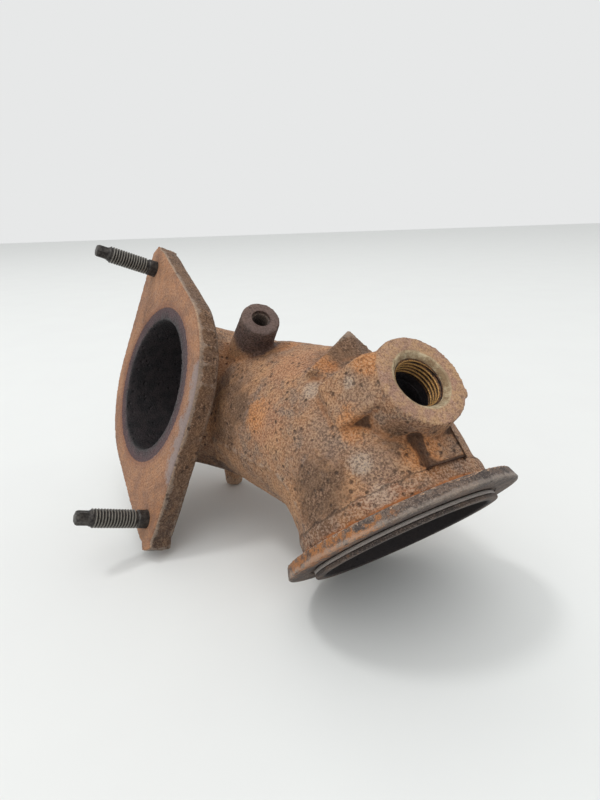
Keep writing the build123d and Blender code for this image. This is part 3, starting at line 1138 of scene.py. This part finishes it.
def bulgeOf(mesh, smoothRounds=14, blurRounds=2):
    # how far each point stands out of the smoothed shape, in millimetres; below 0 in a crease
    points, normals, edges = positions(mesh), normalsOf(mesh), edgesOf(mesh)
    smooth = points
    for i in range(smoothRounds):
        smooth = smooth + (neighbourMean(smooth, edges) - smooth) * 0.7
    bulge = ((points - smooth) * normals).sum(axis=1) / mm
    for i in range(blurRounds):
        bulge = neighbourMean(np.repeat(bulge[:, None], 3, axis=1), edges)[:, 0]
    return bulge


def addPatches(zones, patches, points, core, rim):
    # a soft ball of each zone's value; core and rim are shares of its reach
    for zone, middle, reach in patches:
        gap = np.linalg.norm(points - np.array(middle), axis=1)
        value = 1 - smoothStep(gap, reach * core, reach * rim)
        zones[zone] = np.maximum(zones.get(zone, 0), value)


def paintCasting(obj):
    # where each finish and each patch of painted shade lies, kept as values on the points
    mesh = obj.data
    points, bore = positions(mesh), castingSizes["boreRadius"]
    bulge = bulgeOf(mesh)
    casting, port = inFrame(points, castingFrame), inFrame(points, portFrame)
    distance, away = fromTube(points)
    faceRadius = np.hypot(casting[:, 1], casting[:, 2])
    # a grey worn strip along one lower edge of the face
    strip = smoothStep(-casting[:, 1], 14, 24) * smoothStep(faceRadius, 40.5, 43.5)
    strip *= smoothStep(-casting[:, 2], -5, 12) * (1 - smoothStep(-casting[:, 2], 56, 66))
    storeFloat(mesh, "faceRim", strip)
    storeFloat(mesh, "bore", 1 - smoothStep(distance, bore + 0.6, bore + 1.6))
    zones = {}
    addPatches(zones, colourPatches, casting, 0.25, 1.15)
    addPatches(zones, webPatches, port, 0.4, 1.0)
    flangeEdge = smoothStep(casting[:, 0], 0.6, 1.6) * (1 - smoothStep(casting[:, 0], 10, 13))
    lowEdge = flangeEdge * smoothStep(-casting[:, 2], 45, 62)
    # the flange's edge browned all round: its own dark brown, with painted shade on it
    zones["brownZone"] = np.maximum(zones["brownZone"], flangeEdge * smoothStep(faceRadius, 38, 41))
    # dark scale and painted shade: the low part of the flange's edge darker towards the floor
    zones["darkZone"] = np.maximum(zones["darkZone"] * 0.75, lowEdge * 0.6)
    nearPort = (1 - smoothStep(acrossFlat(port), 30, 36)) * smoothStep(port[:, 2], -34, -28)
    # the edges of the flange and the port wear less
    kept = (1 - flangeEdge * 0.3) * (1 - nearPort * 0.75)
    storeFloat(mesh, "edge", np.clip(bulge * 2.2, 0, 1) * kept)
    storeFloat(mesh, "crease", np.clip(-bulge * 2.4, 0, 1.5))
    outside = smoothStep(distance, bore + 1.4, bore + 2.2)
    for zone, value in zones.items():
        storeFloat(mesh, zone, value * outside)


def makeCasting():
    obj = roughCasting()
    print("casting remeshed", len(obj.data.vertices))
    softenCasting(obj)
    flattenMachined(obj)
    raisePartingLine(obj)
    maskCast(obj)
    skinned = grown("castingBody", skinTree, {"Material": castIron}, obj.data)
    bpy.data.objects.remove(obj)
    addWeb(skinned)
    cutHoles(skinned)
    thinOut(skinned, castingSizes["trianglesKept"])
    skinned.data.materials.clear()
    skinned.data.materials.append(castIron)
    points = positions(skinned.data)
    points[:, 2] = np.maximum(points[:, 2], cadBox[0][2] + 0.02 * mm)
    setPositions(skinned.data, points)
    paintCasting(skinned)
    shadeSmooth(skinned.data, 50)
    skinned.name = "castingBody"
    skinned.data.name = "castingBody"
    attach(skinned, "root")
    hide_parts("elbow_casting")
    print("casting made", len(skinned.data.vertices), len(skinned.data.polygons))


makeCasting()


# The turned clamp flange and its spigot

clampSizes = {
    "outline": [
        (31.05, -4.4), (42.0, -4.4), (42.6, -4.1), (43.65, -0.5), (43.3, 0.0), (35.5, 0.0), (35.4, -0.3),
        (33.4, -0.3), (33.4, 1.5), (34.5, 1.5), (34.65, 1.7), (34.65, 2.5), (34.4, 2.8), (31.5, 2.8),
        (31.0, 2.4),
    ],
    "segments": 340,
    "step": 0.75,
    "rim": 43.65,
    "backCorner": 42.3,
    "dents": 26,
    "dentRadius": 42.9,
    "dentLevel": (-4.2, -0.2),
    "dentSize": (0.5, 1.5),
    "dentDepth": 0.28,
    "rustReach": (6.0, 26.0),   # from the plane of the inlet face
    "seed": 5,
}


def makeClampRing():
    sizes = clampSizes
    mesh = lathe("clampRing", sizes["outline"], outletFrame, sizes["segments"], sizes["step"])
    local = inFrame(positions(mesh), outletFrame)
    radius = acrossFlat(local)
    rng = np.random.default_rng(sizes["seed"])
    outer = smoothStep(radius, 40.5, 42.2)
    for i in range(sizes["dents"]):
        angle = rng.uniform(0, 2 * math.pi)
        level = rng.uniform(*sizes["dentLevel"])
        size = rng.uniform(*sizes["dentSize"])
        away = sizes["dentRadius"]
        spot = np.array((away * math.cos(angle), away * math.sin(angle), level))
        gap = np.linalg.norm(local - spot, axis=1)
        depth = np.exp(-(gap / size) ** 2) * size * sizes["dentDepth"] * outer
        local[:, :2] -= local[:, :2] / radius[:, None] * depth[:, None]
    setPositions(mesh, outOfFrame(local, outletFrame))
    radius = acrossFlat(local)
    rimWear = np.exp(-((radius - sizes["rim"]) / 0.5) ** 2) * 0.8
    backWear = np.exp(-((radius - sizes["backCorner"]) / 0.6) ** 2) * 0.55
    storeFloat(mesh, "edge", np.maximum(rimWear, backWear))
    casting = inFrame(positions(mesh), castingFrame)
    rusty = 1 - smoothStep(casting[:, 0], *sizes["rustReach"])
    rustyBack = 0.8 * (1 - smoothStep(radius, 37.4, 38.6)) * (local[:, 2] < -4.0)
    storeFloat(mesh, "rustZone", np.maximum(rusty, rustyBack))
    storeFloat(mesh, "sootZone", 1 - smoothStep(radius, 31.6, 32.4))
    mesh.materials.append(clampFinish)
    shadeSmooth(mesh, 35)
    obj = newObject("clampRing", mesh)
    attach(obj, "root")
    print("clamp ring made", len(mesh.vertices))


makeClampRing()


# Threads and studs

studSizes = {
    "length": 30.0,
    "plain": 4.2,
    "radius": 4.0,
    "core": 3.42,
    "drive": 6.0,
    "driveRadius": 3.1,
    "flute": 0.42,
    "lobes": 6,
    "pitch": 1.25,
    "crestWidth": 0.3,
    "depth": 8.0,               # how far the stud goes into the flange
    "buriedRadius": 3.6,
    "pointHeight": 1.1,
}
portSizes = {"core": 9.03, "height": 0.85, "pitch": 1.5, "turns": 5.5, "crestWidth": 0.3, "start": 1.7}
sideSizes = {"core": 4.03, "height": 0.62, "pitch": 1.25, "turns": 9.0, "crestWidth": 0.25, "start": 0.9}


def helix(name, place, material, pitch, turns, core, height, crestWidth, facing, start):
    # a ridge of thread placed with its first turn at start, in millimetres along the frame's z
    obj = grown(name, threadTree, {
        "Pitch": pitch * mm, "Turns": turns, "Core Radius": core * mm, "Height": height * mm,
        "Crest Width": crestWidth * mm, "Facing": facing, "Material": material})
    mesh = obj.data
    setPositions(mesh, outOfFrame(positions(mesh) / mm + np.array((0, 0, start)), place))
    cleanNormals(mesh)
    return obj


def makeStud(name, node, point):
    sizes = studSizes
    place = axes(point, inletOut, studLine)
    top, tip = sizes["length"], sizes["length"] - sizes["pointHeight"]
    neck = top - sizes["drive"]
    full, core = sizes["radius"] - 0.02, sizes["core"]
    drive, buried = sizes["driveRadius"], sizes["buriedRadius"]
    outline = [
        (0.0, -sizes["depth"]), (buried, -sizes["depth"]), (buried, -0.9), (full - 0.03, -0.4), (full, 0.1),
        (full, sizes["plain"] - 0.3), (core, sizes["plain"] + 0.35), (core, neck), (drive, neck + 0.5),
        (drive, tip), (drive - 0.35, top - 0.35), (drive - 1.1, top - 0.02), (0.0, top),
    ]
    mesh = lathe(name, outline, place, 72, 0.5, closed=False)
    local = inFrame(positions(mesh), place)
    angle = np.arctan2(local[:, 1], local[:, 0])
    flute = 0.5 - 0.5 * np.cos(angle * sizes["lobes"])
    shrink = 1 - flute * sizes["flute"] * smoothStep(local[:, 2], neck + 0.4, neck + 1.6) / drive
    local[:, :2] *= shrink[:, None]
    setPositions(mesh, outOfFrame(local, place))
    turns = (neck - sizes["plain"]) / sizes["pitch"] - 0.3
    ridge = helix(
        "ridge", place, studSteel, sizes["pitch"], turns, core, sizes["radius"] - core + 0.04,
        sizes["crestWidth"], 1.0, sizes["plain"] + 0.3)
    work = bmesh.new()
    work.from_mesh(mesh)
    work.from_mesh(ridge.data)
    work.to_mesh(mesh)
    work.free()
    bpy.data.objects.remove(ridge)
    local = inFrame(positions(mesh), place)
    crest = smoothStep(acrossFlat(local), core + 0.2, sizes["radius"] - 0.05) * (local[:, 2] > sizes["plain"])
    crest = np.maximum(crest, 0.6 * smoothStep(local[:, 2], tip - 0.3, top))
    storeFloat(mesh, "crest", crest)
    mesh.materials.clear()
    mesh.materials.append(studSteel)
    shadeSmooth(mesh, 32)
    obj = newObject(name, mesh)
    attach(obj, "root")
    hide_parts(node)


for studName, point in studPoints.items():
    makeStud(studName.replace("_s", "S"), studName, point)
print("studs made")


def makeInnerThread(name, place, sizes, material):
    length = sizes["pitch"] * sizes["turns"]
    obj = helix(
        name, place, material, sizes["pitch"], sizes["turns"], sizes["core"], sizes["height"],
        sizes["crestWidth"], -1.0, -sizes["start"] - length)
    crestRadius = sizes["core"] - sizes["height"] * 0.8
    radius = acrossFlat(inFrame(positions(obj.data), place))
    storeFloat(obj.data, "crest", 1 - smoothStep(radius, crestRadius, sizes["core"] - 0.1))
    shadeSmooth(obj.data, 32)
    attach(obj, "root")


makeInnerThread("portThread", portFrame, portSizes, portSteel)
makeInnerThread("sideThread", sideFrame, sideSizes, clampFinish)
print("threads made")


# The split seal ring in the groove of the spigot

ringSizes = {
    "radius": 33.9,
    "width": 0.95,
    "thickness": 1.15,
    "gap": 0.03,                # between its ends, in radians
    "level": 0.75,
    "turn": 5.3,
    "steps": 260,
}


def makeSealRing():
    sizes = ringSizes
    obj = grown("sealRing", ringTree, {
        "Radius": sizes["radius"] * mm, "Width": sizes["width"] * mm, "Thickness": sizes["thickness"] * mm,
        "Gap Angle": sizes["gap"], "Steps": sizes["steps"], "Material": ringSteel})
    place = outletFrame @ Matrix.Rotation(sizes["turn"], 4, "Z")
    setPositions(obj.data, outOfFrame(positions(obj.data) / mm + np.array((0, 0, sizes["level"])), place))
    cleanNormals(obj.data)
    radius = acrossFlat(inFrame(positions(obj.data), outletFrame))
    storeFloat(obj.data, "crest", smoothStep(radius, 33.9, 34.4))
    shadeSmooth(obj.data, 35)
    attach(obj, "root")
    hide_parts("seal_ring")


makeSealRing()
print("seal ring made")


# Floor, backdrop, light and camera

roomSettings = {
    "floor": tone(226, 228, 226),
    "floorShade": tone(222, 223, 222),
    "floorHalf": 4.0,
    "sky": tone(231, 232, 232),
    "skyStrength": 1.0,
    "keyPower": 16.0,
    "keySize": 0.5,
    "keyPlace": (-1.05, -0.12, 2.8),
    "fillPower": 20.0,
    "fillSize": 2.6,
    "fillPlace": (-0.3, -0.9, 2.3),
}


def makeFloor():
    low, half = cadBox[0][2], roomSettings["floorHalf"]
    points = [(-half, -half, low), (half, -half, low), (half, half, low), (-half, half, low)]
    mesh = meshFrom("floor", points, [(0, 1, 2, 3)])
    material, tree, shader, place = newMaterial("floorPaper")
    shade = noiseOf(tree, place, 60.0, 3.0)
    colour = blendColour(tree, shade, roomSettings["floorShade"], roomSettings["floor"])
    connect(tree, shader.inputs["Base Color"], colour)
    shader.inputs["Roughness"].default_value = 0.8
    mesh.materials.append(material)
    obj = newObject("floor", mesh)


def addLamp(name, place, target, size, power):
    lamp = bpy.data.lights.new(name, "AREA")
    lamp.shape = "DISK"
    lamp.size = size
    lamp.energy = power
    obj = bpy.data.objects.new(name, lamp)
    obj.location = place
    obj.rotation_euler = (Vector(target) - Vector(place)).to_track_quat("-Z", "Y").to_euler()
    bpy.context.scene.collection.objects.link(obj)


makeFloor()
middle = (Vector(cadBox[0]) + Vector(cadBox[1])) / 2
addLamp("keyLamp", roomSettings["keyPlace"], middle, roomSettings["keySize"], roomSettings["keyPower"])
addLamp("fillLamp", roomSettings["fillPlace"], middle, roomSettings["fillSize"], roomSettings["fillPower"])

world = bpy.data.worlds.new("room")
world.use_nodes = True
world.node_tree.nodes["Background"].inputs["Color"].default_value = roomSettings["sky"]
world.node_tree.nodes["Background"].inputs["Strength"].default_value = roomSettings["skyStrength"]
bpy.context.scene.world = world
bpy.context.scene.view_settings.view_transform = "Standard"

cameraSettings = {
    "place": (0.0152, -0.2041, 0.1398),
    "right": (0.9995, 0.0, -0.0326),
    "up": (0.0307, 0.3421, 0.9393),
    "lens": 22.95,
}


def makeCamera():
    camera = bpy.data.cameras.new("camera")
    camera.lens = cameraSettings["lens"]
    camera.sensor_width = 36.0
    camera.sensor_fit = "AUTO"
    camera.clip_start = 0.01
    right = Vector(cameraSettings["right"]).normalized()
    up = Vector(cameraSettings["up"])
    up = (up - right * up.dot(right)).normalized()
    turned = Matrix((right, up, right.cross(up))).transposed().to_4x4()
    turned.translation = cameraSettings["place"]
    obj = bpy.data.objects.new("camera", camera)
    obj.matrix_world = turned
    bpy.context.scene.collection.objects.link(obj)
    bpy.context.scene.camera = obj


makeCamera()
print("room, light and camera set")
